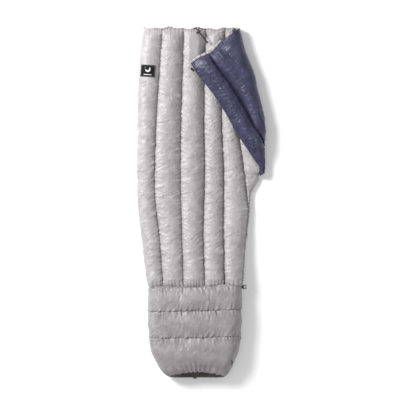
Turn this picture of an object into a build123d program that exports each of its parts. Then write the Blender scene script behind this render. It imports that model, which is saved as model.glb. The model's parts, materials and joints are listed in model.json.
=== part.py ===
"""Down mummy bag of the open-backed kind, lying on the ground with its upper right side folded open.

Millimetres. +Z is up, +Y runs from the foot end to the head hem, and +X is to the right of a
person who looks from the foot to the head. The origin is on the ground, under the middle of
the foot end. Long down chambers run from the knee seam to the head hem, three ring chambers
make the foot box, both side margins are tucked under, and the upper right side is folded
over on to the top with its lining showing. Down is drawn as open-ended hollow bodies.
"""

from build123d import *

import os
from math import atan2, cos, degrees, pi, radians, sin

# ---------------------------------------------------------------- driving dimensions
HEAD = 1950.0            # head end of the long chambers
KNEE = 514.0             # seam between the long chambers and the foot box
START = 520.0            # foot end of the long chambers, just clear of the knee seam
RING_SEAMS = (12.0, 225.0, 379.0, KNEE)
FABRIC = 1.0             # drawn thickness of shell and lining cloth
GAP = 1.0                # air between cloth and down, so that no two pieces share volume
WALL = 30.0              # height of the baffle walls between long chambers
WALL_THICK = 0.6
PUFF = 8.0               # how far a long chamber stands above and below its walls
FILL_WALL = 4.0          # wall of the hollow bodies that stand in for the down
GROUND_LAYER = WALL / 2 + PUFF + GAP + FABRIC    # middle height of a layer lying on the ground
TUCK_TOP = 44.0          # most height that a tucked margin takes
RING_FILL = 9.0          # thickness of the down bodies drawn under the foot box shell
FOOT_LOFT = 40.0         # shell to lining in the foot box
SLOT = 13.0              # half width of the opening down the back of the foot box
BINDING_WIDTH = 3.0
CORD_R = 1.2             # drawcord radius
FOLD_LOW = Vector(361, 1163, 49)      # the fold line of the open side runs from here
FOLD_HIGH = Vector(252, 1958, 49)     # to here, at the head
FLAP_RISE = 0.085        # slope of the folded side where it lies over the body
FLAP_LOFT = 42.0         # thickness of the folded side
FLAP_BASE = 52.0         # height of the folded side's underside at the fold

HALF_WALL = WALL / 2
SKIN = GAP + FABRIC
STATIONS = (START, 800, 1035, 1130, 1170, 1320, 1700, 1890, HEAD)


def along(y, *points):
    """Value at y on straight lines between (y, value) points."""
    if y <= points[0][0]:
        return points[0][1]
    for (y0, v0), (y1, v1) in zip(points, points[1:]):
        if y <= y1:
            return v0 + (v1 - v0) * (y - y0) / (y1 - y0)
    return points[-1][1]


def bowed(y, at_knee, at_head, bow):
    """A line from knee to head that bows outwards by bow half way."""
    t = (y - KNEE) / (HEAD - KNEE)
    return at_knee + (at_head - at_knee) * t - bow * sin(pi * t)


# ---------------------------------------------------------------- how the bag lies
def fold_left(y):
    return bowed(y, -264, -287, 52)


def fold_line(y):
    """x of the fold of the open side."""
    slope = (FOLD_HIGH.X - FOLD_LOW.X) / (FOLD_HIGH.Y - FOLD_LOW.Y)
    return FOLD_LOW.X + slope * (y - FOLD_LOW.Y)


def side_right(y):
    """Right side of the layer that lies on the ground."""
    if y > 1165:
        return fold_line(y) - 3
    return along(y, (START, 266), (800, 280), (1035, 330), (1130, 378), (1165, 357))


def seam_x(i, y):
    """x of long seam i, counted from 1 at the left."""
    if i == 5:
        return along(y, (START, 218), (1035, 270), (1320, 254), (1700, 236), (HEAD, 214))
    at_knee, at_head, bow = ((-179, -181, 46), (-65, -63, 17), (55, 59, 6), (165, 150, 0))[i - 1]
    return bowed(y, at_knee, at_head, bow)


def seam_z(i, y):
    """Middle height of the upper layer at seam i: high over the feet, lower to the right."""
    knee, thigh, hip, chest = ((108, 88, 75, 71), (112, 86, 58, 50), (112, 82, 44, 30),
                               (108, 76, 36, GROUND_LAYER), (96, 66, 30, GROUND_LAYER))[i - 1]
    return along(y, (START, knee), (800, thigh), (1035, hip), (1320, chest))


def thin(y):
    """Share of the full chamber height at y: chambers close up at the head hem."""
    return along(y, (1890, 1.0), (HEAD, 0.4))


def edge_left(y):
    """Free edge of the left margin, tucked under."""
    return along(y, (START, -15), (1035, -80), (HEAD, -92))


def edge_right(y):
    """Free edge of the right margin, tucked under as far as the hip."""
    return along(y, (START, 15), (800, 150), (900, 220))


# ---------------------------------------------------------------- small makers
def line(a, b):
    return Edge.make_line(Vector(*a), Vector(*b))


def arc(a, b, c):
    return Edge.make_three_point_arc(Vector(*a), Vector(*b), Vector(*c))


def ruled(wires):
    return Solid.make_loft(wires, ruled=True)


def box(x0, x1, y0, y1, z0, z1):
    middle = Pos((x0 + x1) / 2, (y0 + y1) / 2, (z0 + z1) / 2)
    return middle * Box(x1 - x0, y1 - y0, z1 - z0)


def lens(y, left, right, half, puff, inset=0.0):
    """Cross-section of a long chamber at y, between the (x, z) middles of its two walls."""
    xa, xb = left[0] + GAP + inset, right[0] - GAP - inset
    za, zb = left[1], right[1]
    xm, zm, h = (xa + xb) / 2, (za + zb) / 2, half - inset
    return Wire([
        line((xa, y, za - h), (xa, y, za + h)),
        arc((xa, y, za + h), (xm, y, zm + h + puff), (xb, y, zb + h)),
        line((xb, y, zb + h), (xb, y, zb - h)),
        arc((xb, y, zb - h), (xm, y, zm - h - puff), (xa, y, za - h)),
    ])


def fold_section(y, wall_x, side_x, wall_top, high, radius, inset=0.0):
    """Cross-section at y of a chamber that turns round one side, from the ground to high."""
    out = 1 if side_x > wall_x else -1
    xw, xs = wall_x + out * (GAP + inset), side_x - out * (SKIN + inset)
    low, top, r = SKIN + inset, high - inset, radius - inset
    turn = xs - out * r
    return Wire([
        line((xw, y, low), (xw, y, wall_top - inset)),
        line((xw, y, wall_top - inset), (turn, y, top)),
        arc((turn, y, top), (xs, y, (low + top) / 2), (turn, y, low)),
        line((turn, y, low), (xw, y, low)),
    ])


def hollow(section, stations):
    """Open-ended body between the sections at each y, its wall FILL_WALL thick."""
    outer = ruled([section(y, 0.0) for y in stations])
    inner = ruled([section(y, FILL_WALL) for y in stations])
    return outer - inner


def band(stations, path):
    """Thin cloth: path(y, t) is a list of edges at the inner (t = 0) and outer (t = 1) face."""
    wires = []
    for y in stations:
        inner, outer = path(y, 0.0), path(y, 1.0)
        start = Edge.make_line(inner[0] @ 0, outer[0] @ 0)
        end = Edge.make_line(inner[-1] @ 1, outer[-1] @ 1)
        wires.append(Wire(inner + outer + [start, end]))
    return ruled(wires)


def strip(stations, centre, width, height):
    """Narrow strip whose (x, z) middle at each y is centre(y)."""
    wires = []
    for y in stations:
        x, z = centre(y)
        w, h = width / 2, height(y) / 2
        wires.append(Wire.make_polygon([(x - w, y, z - h), (x + w, y, z - h),
                                        (x + w, y, z + h), (x - w, y, z + h)]))
    return ruled(wires)


def pipe(path, radius, bore=None, pieces=1):
    """Round bar along an edge, or a pipe if bore is given. A long winding path is swept in pieces."""
    start = Plane(path @ 0, z_dir=path % 0)
    if pieces > 1:
        path = Wire([path.trim(k / pieces, (k + 1) / pieces) for k in range(pieces)])
    bar = sweep(start * Circle(radius), path=path)
    return bar - sweep(start * Circle(bore), path=path) if bore else bar


# ---------------------------------------------------------------- long chambers
def upper_down(i):
    """Down between long seams i and i + 1."""
    def section(y, inset):
        left = (seam_x(i, y), seam_z(i, y))
        right = (seam_x(i + 1, y), seam_z(i + 1, y))
        return lens(y, left, right, HALF_WALL * thin(y), PUFF * thin(y), inset)
    return hollow(section, STATIONS)


def side_top(i, y):
    return seam_z(i, y) + (HALF_WALL + PUFF / 2) * thin(y)


def left_fold_down():
    def section(y, inset):
        high = side_top(1, y)
        radius = (high - SKIN) / 2
        wall_top = seam_z(1, y) + HALF_WALL * thin(y)
        return fold_section(y, seam_x(1, y), fold_left(y), wall_top, high, radius, inset)
    return hollow(section, STATIONS)


def right_radius(y):
    """Round near the knee, where this chamber is the side of the bag, and squarer above."""
    return along(y, (START, 34), (1035, 16), (1890, 12), (HEAD, 10))


def right_side_down():
    def section(y, inset):
        wall_top = seam_z(5, y) + HALF_WALL * thin(y)
        return fold_section(y, seam_x(5, y), side_right(y), wall_top, side_top(5, y) - 2,
                            right_radius(y), inset)
    return hollow(section, STATIONS)


def tuck_top(i, y):
    """Height of a tucked margin beside seam i: it fits under the upper layer."""
    return min(TUCK_TOP, seam_z(i, y) - (HALF_WALL + PUFF) * thin(y) - 3 * SKIN)


def tuck_end(top):
    """Height of a tucked margin at its free edge, from its height at the seam."""
    return (SKIN + top) / 2


def tucked_down(i, edge, stations):
    """Down of the margin tucked under, from beside seam i to its free edge."""
    out = 1 if edge(START) > seam_x(i, START) else -1

    def section(y, inset):
        xa, xb = seam_x(i, y) + out * (GAP + inset), edge(y) - out * (SKIN + inset)
        low, top = SKIN + inset, tuck_top(i, y) - inset
        end_top = tuck_end(tuck_top(i, y)) - inset
        return Wire.make_polygon([(xa, y, low), (xb, y, low), (xb, y, end_top), (xa, y, top)])
    return hollow(section, stations)


def baffle(i):
    """Upright net wall at long seam i."""
    return strip(STATIONS, lambda y: (seam_x(i, y), seam_z(i, y)), WALL_THICK,
                 lambda y: WALL * thin(y) - 1)


def body_shell():
    """Outer cloth: ground, round the left side, over the top, down the right side."""
    def path(y, t):
        off, half = FABRIC * t, HALF_WALL * thin(y) + GAP
        ground = FABRIC - off
        high, left = side_top(1, y) + GAP + off, fold_left(y) + FABRIC - off
        turn = fold_left(y) + SKIN + (side_top(1, y) - SKIN) / 2
        tops = [(seam_x(i, y), seam_z(i, y) + half + off) for i in range(1, 6)]
        edges = [line((edge_left(y), y, ground), (turn, y, ground)),
                 arc((turn, y, ground), (left, y, (high + ground) / 2), (turn, y, high)),
                 line((turn, y, high), (tops[0][0], y, tops[0][1]))]
        for (xa, za), (xb, zb) in zip(tops, tops[1:]):
            middle = ((xa + xb) / 2, y, (za + zb) / 2 + PUFF * thin(y))
            edges.append(arc((xa, y, za), middle, (xb, y, zb)))
        side, right_high = side_right(y) - FABRIC + off, side_top(5, y) - 2 + GAP + off
        bend = side_right(y) - SKIN - right_radius(y)
        edges.append(line((tops[-1][0], y, tops[-1][1]), (bend, y, right_high)))
        edges.append(arc((bend, y, right_high), (side, y, (right_high + ground) / 2),
                         (bend, y, ground)))
        edges.append(line((bend, y, ground), (seam_x(5, y), y, ground)))
        return edges
    return band(STATIONS, path)


def body_lining():
    """Inner cloth: over the tucked margin, back at seam 1, and under the upper layer."""
    def path(y, t):
        off, half = FABRIC * t, HALF_WALL * thin(y) + GAP
        tuck, wall = tuck_top(1, y) + GAP + off, seam_x(1, y) + SKIN + off
        edge_top = tuck_end(tuck_top(1, y)) + GAP + off
        lows = [(seam_x(i, y), seam_z(i, y) - half - off) for i in range(1, 6)]
        lows[0] = (wall, lows[0][1])
        lows[-1] = (lows[-1][0] - SKIN, lows[-1][1])
        edges = [line((edge_left(y), y, edge_top), (wall, y, tuck)),
                 line((wall, y, tuck), (wall, y, lows[0][1]))]
        for (xa, za), (xb, zb) in zip(lows, lows[1:]):
            middle = ((xa + xb) / 2, y, (za + zb) / 2 - PUFF * thin(y))
            edges.append(arc((xa, y, za), middle, (xb, y, zb)))
        return edges
    return band(STATIONS, path)


# ---------------------------------------------------------------- the folded side
def flap_edge(y):
    """Free edge of the folded side: up its long side, then along its hem to the head."""
    return along(y, (1200, 346), (1358, 242), (1594, 100), (1759, -20), (1815, 84),
                 (1882, 151), (1930, 205), (HEAD, 240))


def flap_seam(y):
    """The seam in the folded side, until it runs into the fold."""
    return along(y, (1200, fold_line(1200) - 5), (1470, fold_line(1470) - 5), (1616, 216),
                 (1774, 100), (1812, 84), (HEAD, 240))


def flap_low(x, y):
    return FLAP_BASE + FLAP_RISE * (fold_line(y) - x)


def flap_half(width):
    """Half height of the walls of a chamber that narrows to a point."""
    return min(FLAP_LOFT / 2 - PUFF, 5 + width * 0.1)


def flap_chamber(left, right, stations):
    """Hollow down body of the folded side, between two lines in plan."""
    def section(y, inset):
        xa, xb = left(y) + 3, right(y) - 3
        half = flap_half(xb - xa)
        puff = min(PUFF, (xb - xa) * 0.1)
        middle_a, middle_b = (flap_low(x, y) + FLAP_LOFT / 2 + SKIN for x in (xa, xb))
        return lens(y, (xa, middle_a), (xb, middle_b), half, puff, inset)
    return hollow(section, stations)


def flap_cloth(height):
    """One thin sheet of the folded side, height above its underside."""
    stations = (1205, 1358, 1594, 1757, 1815, 1882, 1940)

    def path(y, t):
        xa, xb = flap_edge(y) + 3, fold_line(y) - 4
        za, zb = (flap_low(x, y) + height + FABRIC * t for x in (xa, xb))
        return [line((xa, y, za), (xb, y, zb))]
    return band(stations, path)


def flap_wall():
    stations = (1500, 1616, 1774, 1805)
    return strip(stations, lambda y: (flap_seam(y), flap_low(flap_seam(y), y) + FLAP_LOFT / 2 + 2),
                 WALL_THICK, lambda y: 14)


def flap_binding(stations):
    """Edge binding of the folded side."""
    return strip(stations, lambda y: (flap_edge(y), flap_low(flap_edge(y), y) + FLAP_LOFT / 2),
                 BINDING_WIDTH, lambda y: 6)


# ---------------------------------------------------------------- foot box
FOOT_STATIONS = (RING_SEAMS[0], 60, 150, 300, KNEE)


def foot_width(y):
    return along(y, (12, 150), (60, 214), (130, 246), (300, 262), (KNEE, 264))


def foot_height(y):
    return along(y, (12, 96), (60, 118), (150, 142), (300, 150), (KNEE, 132))


def foot_section(y, inset):
    """Flattened tube on the ground, made smaller by inset all round."""
    low, high = inset, foot_height(y) - inset
    side = foot_width(y) - inset
    turn = foot_width(y) - foot_height(y) / 2
    return Wire([
        line((-turn, y, low), (turn, y, low)),
        arc((turn, y, low), (side, y, (low + high) / 2), (turn, y, high)),
        arc((turn, y, high), (0, y, high + 6), (-turn, y, high)),
        arc((-turn, y, high), (-side, y, (low + high) / 2), (-turn, y, low)),
    ])


def foot_sleeve(stations, inset, thickness):
    """Sleeve round the feet, open along the back for the zip."""
    outer = ruled([foot_section(y, inset(y)) for y in stations])
    inner = ruled([foot_section(y, inset(y) + thickness) for y in stations])
    slot = box(-SLOT, SLOT, stations[0] - 1, stations[-1] + 1, -1, 60)
    return outer - inner - slot


def foot_lining_inset(y):
    return along(y, (12, 30), (150, FOOT_LOFT))


def foot_shell():
    return foot_sleeve(FOOT_STATIONS, lambda y: 0, FABRIC)


def foot_lining():
    return foot_sleeve(FOOT_STATIONS, foot_lining_inset, FABRIC)


def ring_down(i):
    """Down of foot ring i, counted from the foot end."""
    low, high = RING_SEAMS[i - 1] + 2, RING_SEAMS[i] - 2
    between = [y for y in FOOT_STATIONS if low < y < high]
    return foot_sleeve([low, *between, high], lambda y: SKIN, RING_FILL)


def ring_wall(y):
    """Net baffle ring between two foot rings."""
    half = WALL_THICK / 2
    return foot_sleeve([y - half, y + half], lambda y: SKIN, FOOT_LOFT - 2 * SKIN)


CHANNEL_DEPTH = 12       # the end channel lies this far inside the shell
CHANNEL = (1.5, 10.5)    # from and to along y
CHANNEL_TALL = 8.0


def foot_channel():
    """Folded channel round the foot end, open at the back; the drawcord runs in it."""
    y0, y1 = CHANNEL

    def skin(inset):
        outer = ruled([foot_section(RING_SEAMS[0], inset).moved(Pos(0, y - RING_SEAMS[0], 0))
                       for y in CHANNEL])
        inner = ruled([foot_section(RING_SEAMS[0], inset + FABRIC)
                      .moved(Pos(0, y - RING_SEAMS[0], 0)) for y in CHANNEL])
        return outer - inner - box(-SLOT, SLOT, y0 - 1, y1 + 1, -1, 60)
    return [skin(CHANNEL_DEPTH), skin(CHANNEL_DEPTH + CHANNEL_TALL)]


# ---------------------------------------------------------------- drawcords and cord locks
LOCK_R = 7.5             # cord lock barrel
LOCK_LENGTH = 19.0
BORE_R = 5.6
BUTTON_CLEAR = 0.08
BUTTON_OUT = 6.0         # how far the button stands out of the barrel
PRESS = 3.5              # and how far it can be pressed
STRAND = 2.0             # the two strands of a cord loop lie this far either side of its middle
CORD_SLOT = (8.4, 4.0)   # slot in the barrel for the two strands
LOCK_FLOOR = 1.2         # closed end of the barrel
PLUNGER_START = -4.6     # inner end of the plunger, from the middle of the barrel
SPRING_WIRE = 0.3
THROUGH = 40.0           # length of a tool that cuts right through a small part

NECK_START = Vector(12, 1948, 74)     # where the neck cord loop leaves the hem
NECK_WAY = Vector(0.614, -0.789, 0)   # and the way it lies
NECK_LOOP = 88.0
NECK_TURN = 6.0                       # radius of the right cord's turn into the loop
FOOT_START = Vector(0, 18, 12)
FOOT_WAY = Vector(0, 1, 0)
FOOT_LOOP = 44.0


def along_x(radius, length):
    """Cylinder lying along X."""
    return Rot(0, 90, 0) * Cylinder(radius, length)


def along_y(radius, length):
    """Cylinder lying along Y."""
    return Rot(90, 0, 0) * Cylinder(radius, length)


def lock_body():
    """Barrel along X, bored from +X, with a slot for both cord strands along Y."""
    bore = Pos(LOCK_FLOOR, 0, 0) * along_x(BORE_R, LOCK_LENGTH)
    slot = Box(CORD_SLOT[0], THROUGH, CORD_SLOT[1])
    return along_x(LOCK_R, LOCK_LENGTH) - bore - slot


def lock_button():
    """Plunger with a longer slot, so that it clears the cord along its whole travel."""
    end = LOCK_LENGTH / 2 + BUTTON_OUT
    plunger = along_x(BORE_R - BUTTON_CLEAR, end - PLUNGER_START)
    slot = Box(CORD_SLOT[0] + PRESS, THROUGH, CORD_SLOT[1])
    return Pos((PLUNGER_START + end) / 2, 0, 0) * plunger - Pos(PRESS / 2 + 0.4, 0, 0) * slot


def lock_spring():
    """Coil between the plunger and the closed end of the barrel."""
    coil = Edge.make_helix(pitch=0.8, height=1.6, radius=BORE_R - 1.2)
    wire = sweep(Plane(coil @ 0, z_dir=coil % 0) * Circle(SPRING_WIRE), path=coil)
    return Pos(LOCK_FLOOR - LOCK_LENGTH / 2 + 0.5, 0, 0) * (Rot(0, 90, 0) * wire)


def placed(shape, middle, way, upright=False):
    """Cord lock part at middle, its strands along way; upright stands its button upwards."""
    turn = degrees(atan2(way.Y, way.X)) - 90
    tip = Rot(0, -90, 0) if upright else Rot(0, 0, 0)
    return Pos(*middle) * Rot(0, 0, turn) * tip * shape


def hem_height(x):
    """Height of the head hem above the ground at x."""
    return along(x, (-287, 76), (-181, 76), (-63, 54), (59, 33), (150, 28), (250, 28))


def hem_point(x):
    return Vector(x, HEAD + 8, hem_height(x))


HEM_LEFT, HEM_MOUTH, HEM_RIGHT = -276, (-28, 46), 234
HEM_CHANNEL_R = 6.0


def hem_channel():
    """Folded channel along the head hem, in two runs with the cord's mouth between them."""
    runs = []
    for x0, x1 in ((HEM_LEFT, HEM_MOUTH[0]), (HEM_MOUTH[1], HEM_RIGHT)):
        steps = [x0 + (x1 - x0) * k / 6 for k in range(7)]
        path = Edge.make_spline([hem_point(x) for x in steps])
        runs.append(pipe(path, HEM_CHANNEL_R, HEM_CHANNEL_R - FABRIC))
    return runs


def neck_cord():
    """Two cords, one from each end of the hem, that leave it at its mouth side by side."""
    across = Vector(NECK_WAY.Y, -NECK_WAY.X, 0) * STRAND
    steps = [k / 6 for k in range(7)]
    left = [hem_point(HEM_LEFT + 2 + (HEM_MOUTH[0] - HEM_LEFT) * t) for t in steps]
    right = [hem_point(HEM_RIGHT - 2 + (HEM_MOUTH[1] - HEM_RIGHT) * t) for t in steps]
    loop = [NECK_START + NECK_WAY * d for d in (0, 3, 6, 9, 14, 24, 44, 66, NECK_LOOP)]
    left += [NECK_START + (-14, 6, -8), *(p + across for p in loop)]
    right += [right[-1] + climb for climb in ((-8, 1.8, 8.5), (-18, 3.4, 20.5), (-26, 4.0, 30.0))]
    side = Vector(-NECK_WAY.Y, NECK_WAY.X, 0)
    centre = NECK_START - across - NECK_WAY * 4 + side * NECK_TURN
    for angle, drop in ((90, 4.5), (122, 2.0), (154, 0.5), (186, 0), (218, 0)):
        out = Vector(cos(radians(angle)), sin(radians(angle)), 0) * NECK_TURN
        right.append(centre + out - Vector(0, 0, drop))
    right += [p - across for p in loop]
    return [pipe(Edge.make_spline(left), CORD_R, pieces=4), pipe(Edge.make_spline(right), CORD_R, pieces=8)]


def foot_cord():
    """In along one strand, round the foot end inside its channel, and out along the other."""
    depth = CHANNEL_DEPTH + (CHANNEL_TALL + FABRIC) / 2
    y, width, height = sum(CHANNEL) / 2, foot_width(RING_SEAMS[0]), foot_height(RING_SEAMS[0])
    turn, reach = width - height / 2, height / 2 - depth
    half_round = [Vector(SLOT + 6, y, depth), Vector(turn / 2, y, depth)]
    for k in range(7):
        angle = radians(-90 + 30 * k)
        half_round.append(Vector(turn + reach * cos(angle), y, height / 2 + reach * sin(angle)))
    half_round.append(Vector(turn / 2, y, height - depth + 4.5))
    other_half = [Vector(-p.X, p.Y, p.Z) for p in reversed(half_round)]
    crown = Vector(0, y, height - depth + 6)
    steps = [FOOT_LOOP * k / 4 for k in range(5)]
    out = [FOOT_START + FOOT_WAY * s + Vector(0, 0, STRAND) for s in steps]
    back = [FOOT_START + FOOT_WAY * s - Vector(0, 0, STRAND) for s in steps]
    return pipe(Edge.make_spline([*reversed(back), *half_round, crown, *other_half, *out]), CORD_R)


def cord_tab(start, way, length, across, size):
    """Moulded tab that holds the ends of two cord strands, across apart in its own axes."""
    turn = degrees(atan2(way.Y, way.X))
    tab = fillet(Box(*size).edges(), 1.2)
    depth = size[0] / 2 - 1.5
    for side in (-1, 1):
        hole = along_x(CORD_R + 0.1, depth)
        tab -= Pos(-size[0] / 2 + depth / 2 - 0.01, 0, 0) * Pos(*(across * side * STRAND)) * hole
    return Pos(*(start + way * (length + 2))) * Rot(0, 0, turn) * tab


# ---------------------------------------------------------------- zip down the back of the foot box
ZIP = (84.0, 500.0)      # from and to along y
ZIP_Z = 9.0              # middle height of the tapes
TEETH = (0.6, 2.6)       # each row of teeth lies between these distances from the middle
TAPE_OUT = SLOT - 0.6
SLIDER_LENGTH = 13.0
SLIDER_WIDTH = 10.0
PULL_BAR = 0.7           # radius of the pull's pivot bar
TOOTH_PITCH = 8.0
TOOTH_Z = 1.3            # half height of a tooth
SLIDER_Y = ZIP[1] - 8    # the slider's middle when the zip is closed
PULL_Z = ZIP_Z - 7.1     # the pull turns about this height


def zip_tape(side):
    return box(*sorted((side * (TEETH[1] + 0.2), side * TAPE_OUT)), *ZIP, ZIP_Z - 0.5, ZIP_Z + 0.5)


def zip_teeth(side):
    """One row of the coil: a core with a tooth every few millimetres."""
    x0, x1 = sorted((side * TEETH[0], side * TEETH[1]))
    core = box(x0, x1, *ZIP, ZIP_Z - 0.7, ZIP_Z + 0.7)
    count = int((ZIP[1] - ZIP[0]) / TOOTH_PITCH)
    feet = [ZIP[0] + TOOTH_PITCH * k for k in range(count)]
    return core + [box(x0, x1, y + 2, y + 5, ZIP_Z - TOOTH_Z, ZIP_Z + TOOTH_Z) for y in feet]


def zip_slider():
    """Two plates joined by a post that runs between the rows, with an eye for the pull."""
    y0, y1 = SLIDER_Y - SLIDER_LENGTH / 2, SLIDER_Y + SLIDER_LENGTH / 2
    half = SLIDER_WIDTH / 2
    inner = box(-half, half, y0, y1, ZIP_Z + 1.5, ZIP_Z + 3)
    outer = box(-half, half, y0, y1, ZIP_Z - 3, ZIP_Z - 1.5)
    post = box(-0.45, 0.45, y0 + 1, y1 - 1, ZIP_Z - 2, ZIP_Z + 2)
    eye = box(-1.5, 1.5, SLIDER_Y - 1.8, SLIDER_Y + 1.8, PULL_Z - 1.6, ZIP_Z - 2.5)
    hole = Pos(0, SLIDER_Y, PULL_Z) * along_x(PULL_BAR + 0.08, 10)
    return inner + outer + post + eye - hole


def zip_pull():
    """Flat pull with a round bar that turns in the slider's eye."""
    plate = box(-4, 4, SLIDER_Y - 24, SLIDER_Y + 1, PULL_Z - 0.7, PULL_Z + 0.7)
    window = box(-2, 2, SLIDER_Y - 4, SLIDER_Y + 4, PULL_Z - 2, PULL_Z + 2)
    bar = Pos(0, SLIDER_Y, PULL_Z) * along_x(PULL_BAR, 6)
    return plate - window + bar


def zip_stops():
    y0, y1 = ZIP
    return [box(-4, 4, start, start + 2.8, ZIP_Z - TOOTH_Z, ZIP_Z + TOOTH_Z)
            for start in (y0 - 3, y1 + 0.2)]


# ---------------------------------------------------------------- small fittings
RING_AT = Vector(269.6, 510, 66)      # the side ring's bar, at the knee seam
RING_WIRE = 2.0          # radius of the ring's bars
RING_SIZE = (15.0, 20.0)
RING_TAB = 13.0          # width of the webbing that holds the ring
WEB = 1.3                # thickness of that webbing


def side_ring():
    """Ring that a mat strap clips to."""
    depth, length = RING_SIZE
    x0, x1 = RING_AT.X, RING_AT.X + depth
    y0, y1 = RING_AT.Y - length / 2, RING_AT.Y + length / 2
    bars = [Pos(x, RING_AT.Y, RING_AT.Z) * along_y(RING_WIRE, length) for x in (x0, x1)]
    bars += [Pos(x0 + depth / 2, y, RING_AT.Z) * along_x(RING_WIRE, depth) for y in (y0, y1)]
    corners = [Pos(x, y, RING_AT.Z) * Sphere(RING_WIRE) for x in (x0, x1) for y in (y0, y1)]
    return bars[0] + bars[1:] + corners


def side_ring_tab():
    """Webbing loop, sewn into the knee seam, that the ring turns in."""
    bore = RING_WIRE + 0.08
    loop = Pos(*RING_AT) * (along_y(bore + WEB, RING_TAB) - along_y(bore, RING_TAB + 1))
    tongue = box(RING_AT.X - bore - 3.1, RING_AT.X - bore - 0.3, RING_AT.Y - RING_TAB / 2,
                 RING_AT.Y + RING_TAB / 2, RING_AT.Z - WEB / 2, RING_AT.Z + WEB / 2)
    return loop + tongue


SNAP_TAB = (24, 13, 1.4)
SNAP_R = 6.0
SNAP_PIN = 2.2           # radius of the socket's hole


def snap_tab(x, y, z, turn):
    """Webbing tab that carries one half of the hem snap."""
    return Pos(x, y, z) * Rot(0, 0, turn) * Box(*SNAP_TAB)


def snap_stud(x, y, z):
    cap = Cylinder(SNAP_R - 0.5, 1.6)
    return Pos(x, y, z) * (cap + Pos(0, 0, -1.8) * Cylinder(SNAP_PIN - 0.2, 2.6))


def snap_socket(x, y, z):
    return Pos(x, y, z) * (Cylinder(SNAP_R, 3.4) - Pos(0, 0, 1) * Cylinder(SNAP_PIN, 3.4))


def hang_loop():
    """Webbing loop at the foot end to hang the bag by, flat on the ground."""
    width, thick = 18.0, 1.2
    loop = box(-width / 2, width / 2, -8, 9, 0, thick)
    return loop - box(-3, 3, -5.5, -3, -1, thick + 1)


LABEL = Location((-262, 1715, side_top(1, 1715) + SKIN + 1.2), (0, 0, -4))
LABEL_SIZE = (80.0, 66.0, 1.0)


def label_patch():
    return LABEL * Box(*LABEL_SIZE)


def label_stitching():
    """Sewn line a little inside the edge of the label."""
    x, y = LABEL_SIZE[0] - 6, LABEL_SIZE[1] - 6
    frame = Box(x, y, 0.5) - Box(x - 1.6, y - 1.6, 2)
    return LABEL * (Pos(0, 0, LABEL_SIZE[2] / 2 + 0.3) * frame)


def label_mark():
    """Plain crescent and bar, printed on the label."""
    crescent = Cylinder(13, 0.5) - Pos(7, 4, 0) * Cylinder(11, 2)
    bar = Pos(0, -22, 0) * Box(44, 4, 0.5)
    lift = Pos(0, 0, LABEL_SIZE[2] / 2 + 0.3)
    return [LABEL * (lift * (Pos(0, 7, 0) * crescent)), LABEL * (lift * bar)]


def side_binding(edge, beyond, stations):
    """Binding sewn along the free edge of a tucked margin, beyond it by the given step."""
    return strip(stations, lambda y: (edge(y) + beyond, 6.0), BINDING_WIDTH, lambda y: 8)


# ---------------------------------------------------------------- export
def save(name, shape):
    if isinstance(shape, (list, tuple)):
        shape = Compound(children=list(shape))
    export_step(shape, f"parts/{name}.step")


def save_lock(prefix, start, way, along_loop, upright):
    middle = start + way * along_loop
    for name, shape in (("body", lock_body()), ("button", lock_button()),
                        ("spring", lock_spring())):
        save(f"{prefix}_lock_{name}", placed(shape, middle, way, upright))


os.makedirs("parts", exist_ok=True)

save("shell_body", body_shell())
save("lining_body", body_lining())
for number in range(1, 6):
    save(f"baffle_wall_{number}", baffle(number))
for number in range(1, 5):
    save(f"down_body_{number}", upper_down(number))
save("down_left_fold", left_fold_down())
save("down_right_side", right_side_down())
save("down_tucked_left", tucked_down(1, edge_left, STATIONS))
save("down_tucked_right", tucked_down(5, edge_right, (START, 800, 900)))
save("binding_left", side_binding(edge_left, 2.5, STATIONS))
save("binding_right", side_binding(edge_right, -2.5, (START, 800, 900)))

save("flap_shell", flap_cloth(0))
save("flap_lining", flap_cloth(FLAP_LOFT + SKIN + GAP))
save("flap_wall", flap_wall())
save("down_flap_outer", flap_chamber(flap_edge, flap_seam, (1300, 1470, 1616, 1757, 1790)))
save("down_flap_inner", flap_chamber(flap_seam, fold_line, (1530, 1616, 1774, 1812, 1910)))
save("flap_binding_side", flap_binding((1205, 1358, 1594, 1757)))
save("flap_binding_hem", flap_binding((1762, 1815, 1882, 1930)))

save("foot_shell", foot_shell())
save("foot_lining", foot_lining())
for number in range(1, len(RING_SEAMS)):
    save(f"down_foot_ring_{number}", ring_down(number))
for number, seam in enumerate(RING_SEAMS[1:3], start=1):
    save(f"foot_ring_wall_{number}", ring_wall(seam))
save("foot_channel", foot_channel())

save("foot_drawcord", foot_cord())
save("foot_cord_tab", cord_tab(FOOT_START, FOOT_WAY, FOOT_LOOP, Vector(0, 0, 1), (12, 7, 10)))
save_lock("foot", FOOT_START, FOOT_WAY, 12, True)

save("hem_channel", hem_channel())
save("neck_drawcord", neck_cord())
save("neck_cord_tab", cord_tab(NECK_START, NECK_WAY, NECK_LOOP, Vector(0, 1, 0), (14, 10, 5)))
save_lock("neck", NECK_START, NECK_WAY, 16, False)

for side, name in ((-1, "left"), (1, "right")):
    save(f"zip_tape_{name}", zip_tape(side))
    save(f"zip_teeth_{name}", zip_teeth(side))
save("zip_slider", zip_slider())
save("zip_pull", zip_pull())
save("zip_stops", zip_stops())

save("side_ring", side_ring())
save("side_ring_tab", side_ring_tab())

FLAP_SNAP = (-14, 1722, flap_low(-14, 1722) + FLAP_LOFT / 2)
BODY_SNAP = (-73, 1925, 9)
save("snap_tab_flap", snap_tab(*FLAP_SNAP, -40))
save("snap_stud", snap_stud(FLAP_SNAP[0], FLAP_SNAP[1], FLAP_SNAP[2] - 1.8))
save("snap_tab_body", snap_tab(*BODY_SNAP, 0))
save("snap_socket", snap_socket(BODY_SNAP[0], BODY_SNAP[1], BODY_SNAP[2] - 2.6))

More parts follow.
